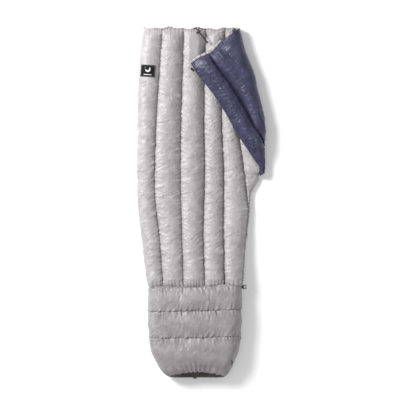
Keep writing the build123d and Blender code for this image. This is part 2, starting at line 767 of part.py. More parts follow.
save("hang_loop", hang_loop())
save("label_patch", label_patch())
save("label_stitching", label_stitching())
save("label_mark", label_mark())
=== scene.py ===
"""The looks of the down bag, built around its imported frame. Metres, +Y to the head, +Z up."""

import json
from math import cos, pi, radians, sin

import bpy
import numpy as np
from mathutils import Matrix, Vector
from mathutils.bvhtree import BVHTree


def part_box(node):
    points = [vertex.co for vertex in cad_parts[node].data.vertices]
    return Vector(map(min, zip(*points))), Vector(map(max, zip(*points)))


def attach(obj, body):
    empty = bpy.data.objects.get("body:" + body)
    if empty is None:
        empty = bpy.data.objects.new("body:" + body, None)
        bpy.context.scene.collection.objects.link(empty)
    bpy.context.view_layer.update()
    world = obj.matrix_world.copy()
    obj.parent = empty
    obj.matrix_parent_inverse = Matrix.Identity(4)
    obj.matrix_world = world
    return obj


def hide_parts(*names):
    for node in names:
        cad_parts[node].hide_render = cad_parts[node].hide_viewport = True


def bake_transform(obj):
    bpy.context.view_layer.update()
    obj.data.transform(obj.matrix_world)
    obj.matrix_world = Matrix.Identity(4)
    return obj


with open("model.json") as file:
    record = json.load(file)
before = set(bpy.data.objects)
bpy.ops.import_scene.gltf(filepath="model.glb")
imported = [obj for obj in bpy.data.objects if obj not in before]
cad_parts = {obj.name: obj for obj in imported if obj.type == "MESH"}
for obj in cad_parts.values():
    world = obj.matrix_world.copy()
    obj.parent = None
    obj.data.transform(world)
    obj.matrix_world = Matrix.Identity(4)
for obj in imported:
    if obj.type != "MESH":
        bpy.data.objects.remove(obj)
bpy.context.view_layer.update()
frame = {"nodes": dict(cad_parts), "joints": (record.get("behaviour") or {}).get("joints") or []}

# ---------------------------------------------------------------- sizes, in metres
LONG_LOW = 0.514         # knee seam
LONG_HIGH = 1.957        # head hem
STEP = 0.0075            # grain of the simulated cloth
FOLD = frame["joints"][0]
FOLD_AT = Vector(FOLD["pos_m"])
FOLD_WAY = Vector(FOLD["axis"])
FLAP_RISE = 0.085        # slope of the folded side over the body
FLAP_CLEAR = 0.0045      # gap between the level on which the folded side lies and the cloth on each side of it
FLOOR_CLOTH = 0.0015     # height of cloth that lies on the floor


# ---------------------------------------------------------------- curves
def curve(y, points):
    """Smooth value at y through (y, value) points."""
    ys = np.array([p[0] for p in points], float)
    vs = np.array([p[1] for p in points], float)
    slopes = np.gradient(vs, ys)
    y = np.clip(np.asarray(y, float), ys[0], ys[-1])
    k = np.clip(np.searchsorted(ys, y, side="right") - 1, 0, len(ys) - 2)
    h = ys[k + 1] - ys[k]
    t = (y - ys[k]) / h
    a, b = vs[k], vs[k + 1]
    ma, mb = slopes[k] * h, slopes[k + 1] * h
    t2, t3 = t * t, t * t * t
    return (2 * t3 - 3 * t2 + 1) * a + (t3 - 2 * t2 + t) * ma + (3 * t2 - 2 * t3) * b + (t3 - t2) * mb


def unit(vectors):
    return vectors / (np.linalg.norm(vectors, axis=-1, keepdims=True) + 1e-12)


def run_of(path):
    """How far along a path each of its points is."""
    return np.concatenate([[0], np.cumsum(np.linalg.norm(np.diff(path, axis=0), axis=1))])


def smooth(t):
    t = np.clip(t, 0.0, 1.0)
    return t * t * (3 - 2 * t)


SEAM_X = {
    1: ((0.514, -0.178), (0.80, -0.199), (1.02, -0.224), (1.16, -0.226), (1.43, -0.217), (1.957, -0.181)),
    2: ((0.514, -0.064), (0.80, -0.073), (1.16, -0.082), (1.43, -0.080), (1.957, -0.063)),
    3: ((0.514, 0.055), (0.80, 0.045), (1.16, 0.053), (1.43, 0.050), (1.957, 0.060)),
    4: ((0.514, 0.165), (0.80, 0.158), (1.16, 0.159), (1.43, 0.149), (1.957, 0.169)),
    5: ((0.514, 0.260), (0.80, 0.284), (0.96, 0.296), (1.035, 0.288), (1.16, 0.273), (1.36, 0.244), (1.957, 0.222)),
}
SEAM_Z = {
    1: ((0.514, 0.108), (0.80, 0.089), (1.035, 0.078), (1.32, 0.073), (1.957, 0.072)),
    2: ((0.514, 0.116), (0.80, 0.090), (1.035, 0.064), (1.32, 0.052), (1.957, 0.050)),
    3: ((0.514, 0.116), (0.80, 0.082), (1.035, 0.043), (1.32, 0.028), (1.957, 0.026)),
    4: ((0.514, 0.106), (0.80, 0.072), (1.035, 0.034), (1.32, 0.024), (1.957, 0.023)),
    5: ((0.514, 0.098), (0.66, 0.066), (0.80, 0.050), (1.035, 0.030), (1.32, 0.026), (1.957, 0.026)),
}
LEFT = ((0.50, -0.262), (0.68, -0.284), (0.805, -0.300), (0.895, -0.313), (1.0, -0.324), (1.11, -0.327),
        (1.30, -0.330), (1.43, -0.330), (1.645, -0.324), (1.773, -0.315), (1.868, -0.302), (1.963, -0.288))
RIGHT = ((0.50, 0.264), (0.66, 0.270), (0.83, 0.292), (0.923, 0.306), (1.03, 0.322), (1.10, 0.366),
         (1.125, 0.381), (1.163, 0.386))
SILHOUETTE = ((1.10, 0.366), (1.13, 0.383), (1.163, 0.386), (1.30, 0.388), (1.43, 0.387), (1.54, 0.369),
              (1.62, 0.352), (1.70, 0.336), (1.77, 0.310), (1.85, 0.280), (1.957, 0.250))


def fold_x(y):
    return FOLD_AT.x + (y - FOLD_AT.y) * FOLD_WAY.x / FOLD_WAY.y


def hem_wave(x):
    """The head hem runs in and out, gathered by its cord."""
    return 0.004 * np.sin(x * 38 + 0.6) + 0.0035 * np.sin(x * 83 + 1.1)


# ---------------------------------------------------------------- meshes
def mesh_object(name, verts, faces, materials, indices=None):
    """Smooth-shaded object; indices gives each face its material."""
    mesh = bpy.data.meshes.new(name)
    mesh.from_pydata([tuple(v) for v in verts], [], [tuple(f) for f in faces])
    for m in materials:
        mesh.materials.append(m)
    if indices is not None:
        mesh.polygons.foreach_set("material_index", np.asarray(indices, dtype=np.int32))
    mesh.polygons.foreach_set("use_smooth", np.full(len(mesh.polygons), True))
    mesh.update()
    obj = bpy.data.objects.new(name, mesh)
    bpy.context.scene.collection.objects.link(obj)
    return obj


def grid_faces(rows, cols, wrap=False):
    """Quads of a grid of points; wrap joins its last column to its first."""
    faces = []
    for r in range(rows - 1):
        for c in range(cols if wrap else cols - 1):
            d = (c + 1) % cols
            a = r * cols
            faces.append((a + c, a + d, a + cols + d, a + cols + c))
    return faces


def bar_faces(rows, sides):
    """Faces of a closed bar: rings of points along it, and a cap at each end."""
    return [*grid_faces(rows, sides, True), tuple(range(sides - 1, -1, -1)),
            tuple(range((rows - 1) * sides, rows * sides))]


def coords(obj):
    data = np.empty(len(obj.data.vertices) * 3)
    obj.data.vertices.foreach_get("co", data)
    return data.reshape(-1, 3)


def set_coords(obj, points):
    obj.data.vertices.foreach_set("co", np.ascontiguousarray(points, dtype=np.float64).ravel())
    obj.data.update()


def wrinkles(points, scale, height, seed):
    """Height of soft random folds at each point, from a few waves in seeded directions."""
    local = np.random.default_rng(seed)
    total = np.zeros(len(points))
    for _ in range(7):
        angle = local.uniform(0, pi)
        length = scale * local.uniform(0.6, 1.6)
        phase = local.uniform(0, 2 * pi)
        bend = 0.5 * np.sin(points[:, 1] * 2 * pi / (length * 3.1) + phase * 2)
        along_way = points[:, 0] * cos(angle) + points[:, 1] * sin(angle)
        total += np.sin(along_way * 2 * pi / length + phase + bend)
    return total * height / 7


CLOTH_FRAMES = 18
CLOTH_STIFFNESS = 12.0
CLOTH_PRESSURE = 8.0


def inflate(obj, pinned, growth, cap):
    """Blows the pinned cloth up with air, its rest size grown by the given share, and applies it.

    No point moves further than about cap from where it starts.
    """
    before = coords(obj)
    group = obj.vertex_groups.new(name="pinned")
    group.add([int(i) for i in np.flatnonzero(pinned)], 1.0, "REPLACE")
    cloth = obj.modifiers.new("Cloth", "CLOTH")
    s = cloth.settings
    s.quality = 4
    s.mass = 0.12
    s.tension_stiffness = s.compression_stiffness = CLOTH_STIFFNESS
    s.shear_stiffness = CLOTH_STIFFNESS * 0.4
    s.bending_stiffness = 0.05
    s.tension_damping = s.compression_damping = s.shear_damping = 3
    s.bending_damping = 0.3
    s.air_damping = 1.5
    s.vertex_group_mass = "pinned"
    s.pin_stiffness = 8
    s.use_pressure = True
    s.uniform_pressure_force = CLOTH_PRESSURE
    s.shrink_min = s.shrink_max = -growth
    s.effector_weights.gravity = 0
    cloth.collision_settings.use_collision = False
    cloth.collision_settings.use_self_collision = False
    cloth.point_cache.frame_start = 1
    cloth.point_cache.frame_end = CLOTH_FRAMES
    scene = bpy.context.scene
    for f in range(1, CLOTH_FRAMES + 1):
        scene.frame_set(f)
    graph = bpy.context.evaluated_depsgraph_get()
    evaluated = obj.evaluated_get(graph).to_mesh()
    after = np.empty(len(before) * 3)
    evaluated.vertices.foreach_get("co", after)
    after = after.reshape(-1, 3)
    obj.modifiers.remove(cloth)
    obj.vertex_groups.remove(group)
    scene.frame_set(1)
    move = after - before
    length = np.linalg.norm(move, axis=1)
    keep = cap * np.tanh(length / cap) / np.maximum(length, 1e-9)
    moved = before + move * keep[:, None]
    moved[pinned] = before[pinned]
    set_coords(obj, moved)


# ---------------------------------------------------------------- material nodes
class Nodes:
    """A material being wired: short calls that add a node and return its output."""

    def __init__(self, name, color, roughness, metallic=0.0):
        self.material = bpy.data.materials.new(name)
        self.material.use_nodes = True
        self.tree = self.material.node_tree
        self.shader = self.tree.nodes["Principled BSDF"]
        self.shader.inputs["Base Color"].default_value = (*color, 1)
        self.shader.inputs["Roughness"].default_value = roughness
        self.shader.inputs["Metallic"].default_value = metallic
        self.place = self.tree.nodes.new("ShaderNodeTexCoord").outputs["Object"]

    def add(self, kind, **inputs):
        node = self.tree.nodes.new(kind)
        for key, value in inputs.items():
            if key in node.inputs.keys():
                self.plug(value, node.inputs[key])
            else:
                setattr(node, key, value)
        return node

    def plug(self, value, socket):
        if isinstance(value, bpy.types.NodeSocket):
            self.tree.links.new(value, socket)
        else:
            socket.default_value = value

    def noise(self, scale, detail, stretch=None):
        place = self.place
        if stretch:
            mapping = self.add("ShaderNodeMapping", Vector=place)
            mapping.inputs["Scale"].default_value = stretch
            place = mapping.outputs["Vector"]
        return self.add("ShaderNodeTexNoise", Vector=place, Scale=scale, Detail=detail).outputs["Fac"]

    def wave(self, scale, axis):
        return self.add("ShaderNodeTexWave", Vector=self.place, Scale=scale, bands_direction=axis).outputs["Fac"]

    def ramp(self, fac, low, high, a=0.0, b=1.0):
        spans = {"From Min": low, "From Max": high, "To Min": a, "To Max": b}
        return self.add("ShaderNodeMapRange", Value=fac, **spans).outputs["Result"]

    def math(self, operation, a, b):
        node = self.add("ShaderNodeMath", operation=operation)
        self.plug(a, node.inputs[0])
        self.plug(b, node.inputs[1])
        return node.outputs[0]

    def mix(self, fac, a, b):
        node = self.add("ShaderNodeMix", data_type="RGBA", Factor=fac)
        for value, index in ((a, 6), (b, 7)):
            self.plug(value if isinstance(value, bpy.types.NodeSocket) else (*value, 1), node.inputs[index])
        return node.outputs[2]

    def bump(self, *layers):
        """Stacked bumps: (height, strength, distance)."""
        normal = None
        for height, strength, distance in layers:
            node = self.add("ShaderNodeBump", Height=height, Strength=strength, Distance=distance)
            if normal is not None:
                self.tree.links.new(normal, node.inputs["Normal"])
            normal = node.outputs["Normal"]
        self.tree.links.new(normal, self.shader.inputs["Normal"])

    def set(self, key, value):
        self.plug(value, self.shader.inputs[key])


def nylon(name, color, dark, roughness, sheen, sheen_tint):
    """Downproof nylon: fine weave with a ripstop grid, mottled by the down behind it."""
    n = Nodes(name, color, roughness)
    mottle = n.noise(22, 4)
    clumps = n.noise(60, 3)
    creases = n.noise(140, 5, (1, 0.55, 1))
    weave = n.math("ADD", n.wave(900, "X"), n.wave(900, "Y"))
    rip_x = n.ramp(n.wave(33, "X"), 0.93, 1.0)
    rip_y = n.ramp(n.wave(33, "Y"), 0.93, 1.0)
    grid = n.math("MAXIMUM", rip_x, rip_y)
    shade = n.mix(n.ramp(mottle, 0.35, 0.68), dark, color)
    n.set("Base Color", n.mix(n.math("MULTIPLY", grid, 0.10), shade, dark))
    n.set("Roughness", n.ramp(clumps, 0.3, 0.7, roughness - 0.06, roughness + 0.08))
    n.set("Sheen Weight", sheen)
    n.set("Sheen Roughness", 0.35)
    n.set("Sheen Tint", (*sheen_tint, 1))
    n.set("Specular IOR Level", 0.40)
    n.bump((mottle, 0.25, 0.006), (creases, 0.35, 0.0016), (grid, 0.25, 0.0002), (weave, 0.08, 0.00008))
    return n.material


def woven(name, color, pitch, roughness=0.8, sheen=0.06):
    """Webbing, binding or cord: a coarse twill."""
    n = Nodes(name, color, roughness)
    twill = n.math("MULTIPLY", n.wave(pitch, "DIAGONAL"), n.wave(pitch * 0.9, "Y"))
    fuzz = n.noise(900, 2)
    light = tuple(min(1, c * 1.8 + 0.015) for c in color)
    n.set("Base Color", n.mix(n.math("MULTIPLY", twill, 0.6), color, light))
    n.set("Sheen Weight", sheen)
    n.set("Specular IOR Level", 0.25)
    n.bump((twill, 0.6, 0.0004), (fuzz, 0.2, 0.0001))
    return n.material


def moulded(name, color, roughness=0.42, metallic=0.0, specular=0.4):
    n = Nodes(name, color, roughness, metallic)
    grain = n.noise(1600, 3)
    wear = n.noise(240, 4)
    light = tuple(min(1, c * 1.7 + 0.01) for c in color)
    n.set("Base Color", n.mix(n.ramp(wear, 0.4, 0.8), color, light))
    n.set("Roughness", n.ramp(wear, 0.3, 0.7, roughness - 0.08, roughness + 0.12))
    n.bump((grain, 0.15, 0.00008))
    n.set("Specular IOR Level", specular)
    return n.material


SHELL = nylon("shell nylon", (0.335, 0.315, 0.324), (0.265, 0.246, 0.255), 0.46, 0.25, (1.0, 0.98, 1.0))
SHELL_FOOT = nylon("foot box nylon", (0.265, 0.246, 0.254), (0.205, 0.189, 0.196), 0.44, 0.20, (1.0, 0.98, 1.0))
# Painted shade: a near-black brown for the gathered lip and the inside of the foot box's open end, which face away
# from the light; inside it is partly the dark lining, the rest is shade painted on
MOUTH_PAINTED_SHADE = nylon("foot mouth painted shade", (0.060, 0.050, 0.047), (0.035, 0.028, 0.027), 0.55, 0.05, (1.0, 0.95, 0.9))
LINING = nylon("lining nylon", (0.036, 0.036, 0.080), (0.020, 0.020, 0.047), 0.45, 0.22, (0.78, 0.78, 1.0))
HEM_DARK = woven("dark hem binding", (0.035, 0.033, 0.075), 700)
BLACK_WEB = woven("black webbing", (0.012, 0.012, 0.013), 600)
BLACK_CORD = woven("black braided cord", (0.015, 0.015, 0.016), 900)
BLACK_MOULD = moulded("black moulding", (0.012, 0.012, 0.013))
DARK_METAL = moulded("dark painted metal", (0.02, 0.02, 0.02), 0.35, 0.6)
STEEL = moulded("spring wire", (0.5, 0.5, 0.52), 0.3, 1.0)
LABEL_CLOTH = moulded("label cloth", (0.006, 0.006, 0.007), 0.9, 0.0, 0.1)
LABEL_INK = woven("label print", (0.45, 0.45, 0.46), 1200, 0.6)
THREAD_DARK = woven("dark grey thread", (0.10, 0.095, 0.105), 2000, 0.8)
THREAD = woven("grey thread", (0.33, 0.32, 0.34), 2000, 0.7)


# ---------------------------------------------------------------- cloth sheets
def doubled(points, axis, wrap=False):
    """Twice as many points along one axis of a grid, on smooth curves through the old ones."""
    p = np.moveaxis(points, axis, 0)
    if wrap:
        q = np.concatenate([p[-1:], p, p[:2]])
    else:
        q = np.concatenate([2 * p[:1] - p[1:2], p, 2 * p[-1:] - p[-2:-1]])
    middle = (9 * (q[1:-2] + q[2:-1]) - q[:-3] - q[3:]) / 16
    out = np.empty((len(p) + len(middle), *p.shape[1:]))
    out[0::2] = p
    out[1::2] = middle
    return np.moveaxis(out, 0, axis)


def normals(grid, wrap=False):
    """Unit normals of a grid whose columns run left to right as its rows run up."""
    if wrap:
        across = np.roll(grid, -1, 1) - np.roll(grid, 1, 1)
    else:
        across = np.gradient(grid, axis=1)
    up = np.gradient(grid, axis=0)
    return unit(np.cross(across, up))


CREASE_COLUMNS = 44      # a crease ends at most this many columns from its seam


def creases(grid, starts, count, seed, length, width, height, spread, tilt=0.0):
    """Height of small folds that run away from the given seam columns, as puckered cloth has."""
    local = np.random.default_rng(seed)
    rows, cols = grid.shape[:2]
    s = np.cumsum(np.linalg.norm(np.diff(grid, axis=1), axis=2), axis=1)
    s = np.concatenate([np.zeros((rows, 1)), s], 1)
    l = np.cumsum(np.linalg.norm(np.diff(grid, axis=0), axis=2), axis=0)
    l = np.concatenate([np.zeros((1, cols)), l], 0)
    row_step = max(1e-4, float(np.median(np.diff(l, axis=0))))
    total = np.zeros((rows, cols))
    for _ in range(count):
        c0 = int(local.choice(starts))
        r0 = int(local.integers(0, rows))
        way = local.choice((-1, 1))
        reach = length * local.uniform(0.5, 1.7)
        w = width * local.uniform(0.7, 1.5)
        h = height * local.uniform(0.3, 1.2)
        lean = tilt(grid[r0, c0]) if callable(tilt) else tilt
        angle = local.normal(lean, spread) * way
        bend = local.normal(0, 2.5)
        half = int((reach * abs(sin(angle)) + 3 * w) / row_step) + 2
        ra, rb = max(0, r0 - half), min(rows, r0 + half + 1)
        ca, cb = (max(0, c0 - CREASE_COLUMNS), c0 + 1) if way < 0 else (c0, min(cols, c0 + CREASE_COLUMNS + 1))
        ds = (s[ra:rb, ca:cb] - s[r0, c0]) * way
        dl = l[ra:rb, ca:cb] - l[r0, c0]
        p = ds * cos(angle) + dl * sin(angle)
        q = dl * cos(angle) - ds * sin(angle) + bend * p * p
        u = p / reach
        shape = np.clip(u / 0.10, 0, 1) * np.clip(1 - u, 0, 1) ** 1.3
        total[ra:rb, ca:cb] += h * np.exp(-(q / w) ** 2) * shape
    return total


def spaced(a, b, count):
    return a + (b - a) * np.linspace(0, 1, count + 1)[:-1]


def crown(t):
    return np.sin(pi * t) ** 0.62


def cloth_object(name, grid, materials, wrap=False, indices=None):
    rows, cols = grid.shape[:2]
    return mesh_object(name, grid.reshape(-1, 3), grid_faces(rows, cols, wrap), materials, indices)


def simulated(name, grid, mask, wrap=False, **settings):
    """A pinned grid of cloth, blown up; returns the grid it settles to, twice as fine."""
    obj = cloth_object(name, grid, [], wrap)
    inflate(obj, mask.ravel(), **settings)
    settled = coords(obj).reshape(grid.shape)
    bpy.data.objects.remove(obj)
    return doubled(doubled(settled, 0), 1, wrap)


def on_ground(grid, low=0.0012):
    grid[:, :, 2] = np.maximum(grid[:, :, 2], low)
    return grid


# ---------------------------------------------------------------- long chambers
CHAMBER_PUFF = {1: 0.029, 2: 0.031, 3: 0.029, 4: 0.030}
CHAMBER_COLUMNS = {1: 18, 2: 18, 3: 16, 4: 16}
SIDE_COLUMNS = (5, 20, 10)
SEAM_DEPTH = (0.002, 0.003, 0.005, 0.007, 0.007)


def body_top():
    """Top sheet from under the left side, over the long chambers, to the fold line or the right side."""
    rows = int((LONG_HIGH - LONG_LOW) / STEP)
    y = np.linspace(LONG_LOW, LONG_HIGH, rows + 1)
    hem = smooth((y - 1.905) / (LONG_HIGH - 1.905))
    full = (1 - 0.85 * hem) * np.clip((y - LONG_LOW) / 0.040, 0, 1) ** 0.5
    columns, seams = [], []

    def add(x, z):
        columns.append(np.stack([np.broadcast_to(x, y.shape), y, np.broadcast_to(z, y.shape)], 1))

    left = curve(y, LEFT)
    s1x, s1z = curve(y, SEAM_X[1]), curve(y, SEAM_Z[1])
    middle, half = (left + s1x) / 2, (s1x - left) / 2
    high = s1z + 0.022 * full
    for k in range(SIDE_COLUMNS[0]):
        add(middle + half * 0.6 * (1 - k / SIDE_COLUMNS[0]), FLOOR_CLOTH)
    for k in range(SIDE_COLUMNS[1]):
        a = -pi / 2 - pi * k / SIDE_COLUMNS[1]
        add(middle - half * abs(cos(a)) ** 0.85, high / 2 + (high / 2 - FLOOR_CLOTH) * sin(a))
    for k in range(SIDE_COLUMNS[2]):
        u = k / SIDE_COLUMNS[2]
        add(middle + half * u, s1z + (high - s1z) * (1 - u ** 2.4) ** 0.62)
    for i, count in CHAMBER_COLUMNS.items():
        seams.append(len(columns))
        xa, za = curve(y, SEAM_X[i]), curve(y, SEAM_Z[i])
        xb, zb = curve(y, SEAM_X[i + 1]), curve(y, SEAM_Z[i + 1])
        long = np.hypot(xb - xa, zb - za)
        for k in range(count):
            t = k / count
            rise = CHAMBER_PUFF[i] * full * crown(t)
            add(xa + (xb - xa) * t - (zb - za) / long * rise, za + (zb - za) * t + (xb - xa) / long * rise)
    seams.append(len(columns))
    s5x, s5z = curve(y, SEAM_X[5]), curve(y, SEAM_Z[5])
    right, fold = curve(y, RIGHT), fold_x(y)
    turn = smooth((y - 1.100) / 0.060)
    count = 20
    for k in range(count + 1):
        t = k / count
        b0, b1, b2, b3 = (1 - t) ** 3, 3 * (1 - t) ** 2 * t, 3 * (1 - t) * t * t, t ** 3
        arc_x = b0 * s5x + b1 * (right + 0.008) + b2 * (right + 0.004) + b3 * (right - 0.05)
        arc_z = b0 * s5z + b1 * (s5z + 0.012) + (b2 + b3) * FLOOR_CLOTH
        flat_z = s5z + (0.046 - s5z) * t ** 2 + 0.012 * full * crown(t)
        add(arc_x + (s5x + (fold - s5x) * t - arc_x) * turn, arc_z + (flat_z - arc_z) * turn)
    grid = np.stack(columns, 1)
    mask = np.zeros(grid.shape[:2], bool)
    mask[:, [0, *seams, -1]] = True
    mask[0, :] = True
    mask[-1, :] = True
    grid[-1, :, 1] += hem_wave(grid[-1, :, 0])
    return grid, mask, seams


# ---------------------------------------------------------------- foot box
RINGS = (0.510, 0.379, 0.230)
FOOT_HALF = ((0.0, 0.245), (0.230, 0.246), (0.379, 0.252), (0.510, 0.252))
FOOT_TALL = ((0.0, 0.120), (0.230, 0.128), (0.379, 0.134), (0.510, 0.122))
MOUTH_Z = 0.050          # middle height of the foot box's open end
SHADED_MOUTH_ROWS = 15          # the last rows of the foot box are its mouth, coloured near-black as painted shade
SLANT = 0.026            # the ring seams run slightly uphill to the right


def stadium(half, tall, count):
    """Points round a flattened tube: x and z, evenly spaced, counted from the right, going up."""
    r = tall / 2
    flat = 2 * (half - r)
    total = 2 * flat + 2 * pi * r
    out = []
    for k in range(count):
        d = (k / count) * total
        quarter = pi * r / 2
        if d < quarter:
            a = d / r
            out.append((half - r + r * cos(a), r + r * sin(a)))
        elif d < quarter + flat:
            out.append((half - r - (d - quarter), tall))
        elif d < quarter + flat + pi * r:
            a = pi / 2 + (d - quarter - flat) / r
            out.append((-(half - r) + r * cos(a), r + r * sin(a)))
        elif d < 2 * flat + quarter + pi * r:
            out.append((-(half - r) + (d - quarter - flat - pi * r), 0.0))
        else:
            a = 1.5 * pi + (d - 2 * flat - quarter - pi * r) / r
            out.append((half - r + r * cos(a), r + r * sin(a)))
    return np.array(out)


def foot_grid(cols=156):
    """Rows from the knee seam over two rings to the gathered mouth at the foot end, and in behind it."""
    rows, pins = [], []
    levels = [RINGS[0] + 0.010]
    for high, low, count in ((RINGS[0], RINGS[1], 18), (RINGS[1], RINGS[2], 21)):
        levels += [high + (low - high) * k / count for k in range(count)]
    for y in levels:
        half, tall = curve(y, FOOT_HALF), curve(y, FOOT_TALL)
        ring = stadium(float(half), float(tall), cols)
        low = max(r for r in RINGS if r <= y + 1e-9) if y < RINGS[0] else RINGS[0]
        high = min([r for r in RINGS if r > y + 1e-9] or [RINGS[0] + 0.010])
        puff = 0.022 * sin(pi * (y - low) / (high - low)) ** 0.6 if y < RINGS[0] and y > low else 0.0
        out = unit(ring - (0.0, tall / 2))
        ring = ring + out * (0.45, 1) * puff - out * (0.022 if y > RINGS[0] else 0.0)
        rows.append(np.stack([ring[:, 0], y + SLANT * ring[:, 0], np.maximum(ring[:, 1], 0.002)], 1))
        pins.append(y in RINGS or y > RINGS[0])
    start = rows[-1] * (1, 0, 1)
    p0 = start + np.stack([0 * start[:, 0], RINGS[2] + SLANT * start[:, 0], 0 * start[:, 0]], 1)
    rim = mouth(cols, 0.0)
    middle = np.array([0, 0, MOUTH_Z])
    c1 = p0 * (0.98, 0, 1) + (0, 0.150, 0)
    c2 = (p0 * (1, 0, 1) - middle) * (0.77, 0, 0.95) + middle + (0, 0.012, 0)
    angle = np.arctan2((p0[:, 2] - MOUTH_Z) * 2, p0[:, 0])
    count = 40
    for k in range(count + 1):
        t = k / count
        row = (1 - t) ** 3 * p0 + 3 * (1 - t) ** 2 * t * c1 + 3 * (1 - t) * t * t * c2 + t ** 3 * rim
        swell = 0.017 * sin(pi * min(1, t * 1.6)) ** 0.7 if 0 < t < 0.62 else 0
        pleat = 0.0062 * np.cos(angle * 31 + 0.9 * np.sin(angle * 4)) * smooth((t - 0.40) / 0.5)
        way = unit((row - middle) * (1, 0, 1))
        rows.append(row + way * ((0.45, 0, 1) * np.array(swell) + pleat[:, None]))
        pins.append(k in (0, count))
    for inset, y in ((0.007, -0.003), (0.014, 0.003), (0.018, 0.014), (0.022, 0.040), (0.026, 0.080)):
        rows.append(mouth(cols, inset) + (0, y, 0))
        pins.append(True)
    grid = np.stack(rows, 0)
    mask = np.zeros(grid.shape[:2], bool)
    mask[[r for r, pin in enumerate(pins) if pin]] = True
    return grid, mask


def mouth(cols, inset):
    """The end of the foot box, where the drawcord runs, made smaller by inset. Its upper lip is set back."""
    ring = stadium(0.139 - inset, 0.084 - 2 * inset, cols)
    round_it = np.arctan2(ring[:, 1] - 0.04, ring[:, 0] * 0.4)
    middle = np.clip(1 - (ring[:, 0] / 0.142) ** 2, 0, 1) ** 0.6
    back = 0.003 + (0.038 * middle + 0.0035 * np.cos(round_it * 29)) * smooth(ring[:, 1] / 0.084)
    return np.stack([ring[:, 0] + 0.012, back, ring[:, 1] + MOUTH_Z - 0.042 + inset], 1)


# ---------------------------------------------------------------- the folded side
ROW_WAY = Vector((-0.806, -0.591, 0)).normalized()
FREE_EDGE = ((1.14, 0.384), (1.17, 0.370), (1.238, 0.323), (1.298, 0.284), (1.358, 0.242), (1.453, 0.190),
             (1.594, 0.100), (1.709, 0.010), (1.759, -0.020))
CHAMBER = 0.112          # width of a chamber in the folded side
FOLD_SEAMS = (15, 29)


def lie(x, y):
    """Height of the surface on which the folded side lies."""
    return FOLD_AT.z + FLAP_RISE * (fold_x(y) - x)


def fold_rows():
    """For each row of the folded side: its silhouette point and its length to the free edge."""
    ys = np.linspace(1.145, LONG_HIGH, int((LONG_HIGH - 1.145) / STEP) + 1)
    rows = []
    for y in ys:
        x = float(curve(y, SILHOUETTE))
        reach = np.linspace(0, 0.36, 721)
        gap = (x + ROW_WAY.x * reach) - curve(y + ROW_WAY.y * reach, FREE_EDGE)
        hit = np.flatnonzero(gap <= 0)
        length = reach[hit[0]] if len(hit) else 0.336
        rows.append((x, y, max(0.012, float(length))))
    return rows


def fold_path(x, y, length):
    """Points along one row, from the free edge over the top, round the fold and in along the ground."""
    full = float(smooth(length / 0.12))
    radius = min(0.046, 0.45 * length + 0.008)
    top = 0.052 + 0.046 * full
    points = []
    flat = max(0.0, length - radius)
    for t in np.linspace(0, 1, 24):
        d = length - flat * t
        px, py = x + ROW_WAY.x * d, y + ROW_WAY.y * d
        rise = float(smooth(t / 0.35))
        at_edge = lie(px, py) + 0.004 + 0.008 * full
        over = max(lie(px, py) + 0.036 * full, 0)
        level = at_edge + (over - at_edge) * rise
        level += (top - level) * smooth((t - 0.6) / 0.4)
        points.append((px, py, level))
    for a in np.linspace(0, pi, 16)[1:]:
        d = radius * (1 - sin(a))
        points.append((x + ROW_WAY.x * d, y + ROW_WAY.y * d, top / 2 + top / 2 * cos(a) + 0.001))
    d = radius + 0.05
    points.append((x + ROW_WAY.x * d, y + ROW_WAY.y * d, FLOOR_CLOTH))
    return np.array(points)


def along(path, far, distances):
    """Points at the given distances along a path, of which far is run_of(path)."""
    return np.stack([np.interp(distances, far, path[:, i]) for i in range(3)], -1)


def fold_grid():
    """The lining side of the folded side: columns run from the free edge to the ground."""
    grid = []
    for x, y, length in fold_rows():
        path = fold_path(x, y, length)
        far = run_of(path)
        total = far[-1]
        first = min(CHAMBER, total * 0.45)
        second = min(2 * CHAMBER - 0.012, total * 0.72)
        stops = np.concatenate([spaced(0, first, 15), spaced(first, second, 14),
                                np.linspace(second, total, 22)])
        grid.append(along(path, far, stops))
    grid = np.array(grid)
    mask = np.zeros(grid.shape[:2], bool)
    mask[:, [0, FOLD_SEAMS[0], -1]] = True
    mask[[0, -1]] = True
    tall = smooth((grid[:, FOLD_SEAMS[0], 2] - 0.055) / 0.03)
    for c in range(FOLD_SEAMS[0]):
        grid[:, c, 2] += 0.016 * tall * crown(c / FOLD_SEAMS[0])
    for c in range(FOLD_SEAMS[0], FOLD_SEAMS[1]):
        t = (c - FOLD_SEAMS[0]) / (FOLD_SEAMS[1] - FOLD_SEAMS[0])
        grid[:, c, 2] += 0.017 * tall * crown(t / 2) * (1 - smooth(t))
    grid[:, FOLD_SEAMS[0], 2] -= 0.022 * tall
    dip = np.arange(grid.shape[0])[::-1] / 7.0
    far = np.linspace(0, 1, FOLD_SEAMS[1] + 1)
    inward = 0.018 * np.exp(-dip ** 2)[:, None] * np.exp(-((far - 0.62) / 0.26) ** 2)[None, :]
    grid[:, :FOLD_SEAMS[1] + 1, 0] += inward * -ROW_WAY.y * 0.9
    grid[:, :FOLD_SEAMS[1] + 1, 1] += inward * ROW_WAY.x * 0.9
    head = np.exp(-np.arange(grid.shape[0])[::-1] / 3.0)[:, None]
    low = lie(grid[:, :, 0], grid[:, :, 1]) + 0.012
    last = FOLD_SEAMS[-1]
    grid[:, :last, 2] += (low[:, :last] - grid[:, :last, 2]) * head
    return grid, mask


# ---------------------------------------------------------------- hidden and inner sides
TUCK_EDGE = ((0.514, -0.015), (1.035, -0.080), (1.957, -0.092))


def between(a, b, count, sag=0.0):
    """Columns from line a towards line b, sagging between them."""
    out = []
    for k in range(count):
        t = k / count
        out.append(a + (b - a) * t + np.array([0, 0, -sag * sin(pi * t)]))
    return out


